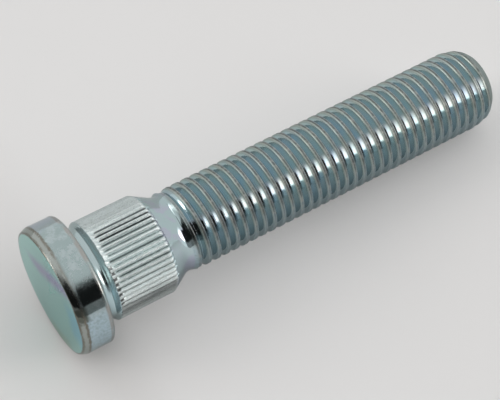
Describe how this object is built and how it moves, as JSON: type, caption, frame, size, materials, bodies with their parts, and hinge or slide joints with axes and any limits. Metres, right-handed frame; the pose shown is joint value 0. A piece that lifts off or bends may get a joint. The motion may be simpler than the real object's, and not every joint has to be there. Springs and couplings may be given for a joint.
{
  "type": "wheel stud",
  "caption": "Zinc-plated press-in wheel stud with a plain round head, straight serrations and an M12x1.5 right-hand thread.",
  "frame": {"origin": "centre of the flat outer face of the head", "axes": "+Z along the stud's axis, from the head to the threaded tip; the picture looks from the -Y side"},
  "size_m": [0.0186, 0.0186, 0.0705],
  "materials": {
    "zinc_plated_steel": "bright zinc plating with a blue-teal passivation, semi-gloss"
  },
  "bodies": {
    "root": {"wheel_stud": "zinc_plated_steel"}
  },
  "joints": []
}
